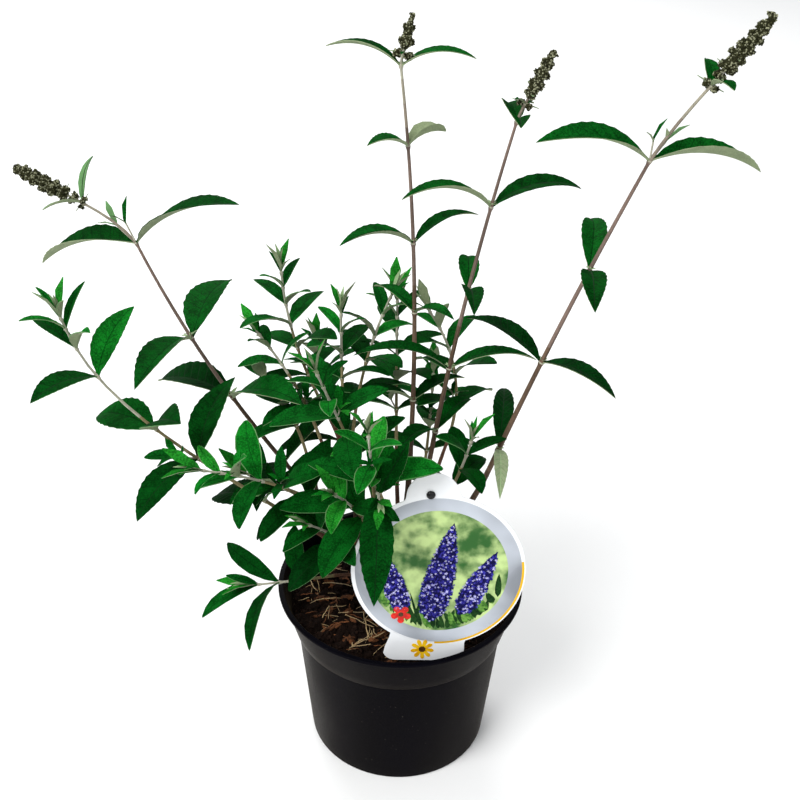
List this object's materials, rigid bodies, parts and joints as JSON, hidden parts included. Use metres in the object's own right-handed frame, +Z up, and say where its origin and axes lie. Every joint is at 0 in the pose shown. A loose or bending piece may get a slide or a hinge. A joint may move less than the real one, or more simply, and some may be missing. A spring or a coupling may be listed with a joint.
{
  "type": "potted butterfly bush",
  "caption": "Young butterfly bush with long arching stems in bud over a leafy base, in a round black nursery pot with a round plant label on a stake.",
  "frame": {"origin": "centre of the pot's flat underside", "axes": "+Z up; -Y towards the front, where the plant label stands; +X to the bush's right as seen from the front"},
  "size_m": [0.5011, 0.2868, 0.5897],
  "materials": {
    "pot": "satin black nursery plastic",
    "compost": "loose dark brown compost with bark and straw",
    "label": "smooth coated card",
    "stake": "black plastic",
    "bark": "young purple-brown bark",
    "foliage": "soft mid-green leaves"
  },
  "bodies": {
    "root": {"pot": "pot", "potting_compost": "compost", "plant_label": "label", "label_stake": "stake", "main_stem": "bark", "bough_left": "bark", "leaves_left": "foliage", "bough_middle": "bark", "leaves_middle": "foliage", "bough_inner_right": "bark", "leaves_inner_right": "foliage", "bough_right": "bark", "leaves_right": "foliage", "bough_over_label": "bark", "leaves_over_label": "foliage", "bough_low_left": "bark", "leaves_low_left": "foliage", "bough_low_front": "bark", "leaves_low_front": "foliage", "bough_front": "bark", "leaves_front": "foliage", "bough_low_inner": "bark", "leaves_low_inner": "foliage", "bough_low_side": "bark", "leaves_low_side": "foliage", "bough_front_centre": "bark", "leaves_front_centre": "foliage", "bough_front_left": "bark", "leaves_front_left": "foliage", "bough_low_front_left": "bark", "leaves_low_front_left": "foliage", "bough_upper_left": "bark", "leaves_upper_left": "foliage", "bough_side_left": "bark", "leaves_side_left": "foliage", "bough_mid_left": "bark", "leaves_mid_left": "foliage", "bough_centre_left": "bark", "leaves_centre_left": "foliage", "bough_centre_back": "bark", "leaves_centre_back": "foliage", "bough_back_right": "bark", "leaves_back_right": "foliage", "bough_front_right": "bark", "leaves_front_right": "foliage", "bough_back": "bark", "leaves_back": "foliage", "bough_back_left": "bark", "leaves_back_left": "foliage", "bough_right_back": "bark", "leaves_right_back": "foliage"}
  },
  "joints": []
}
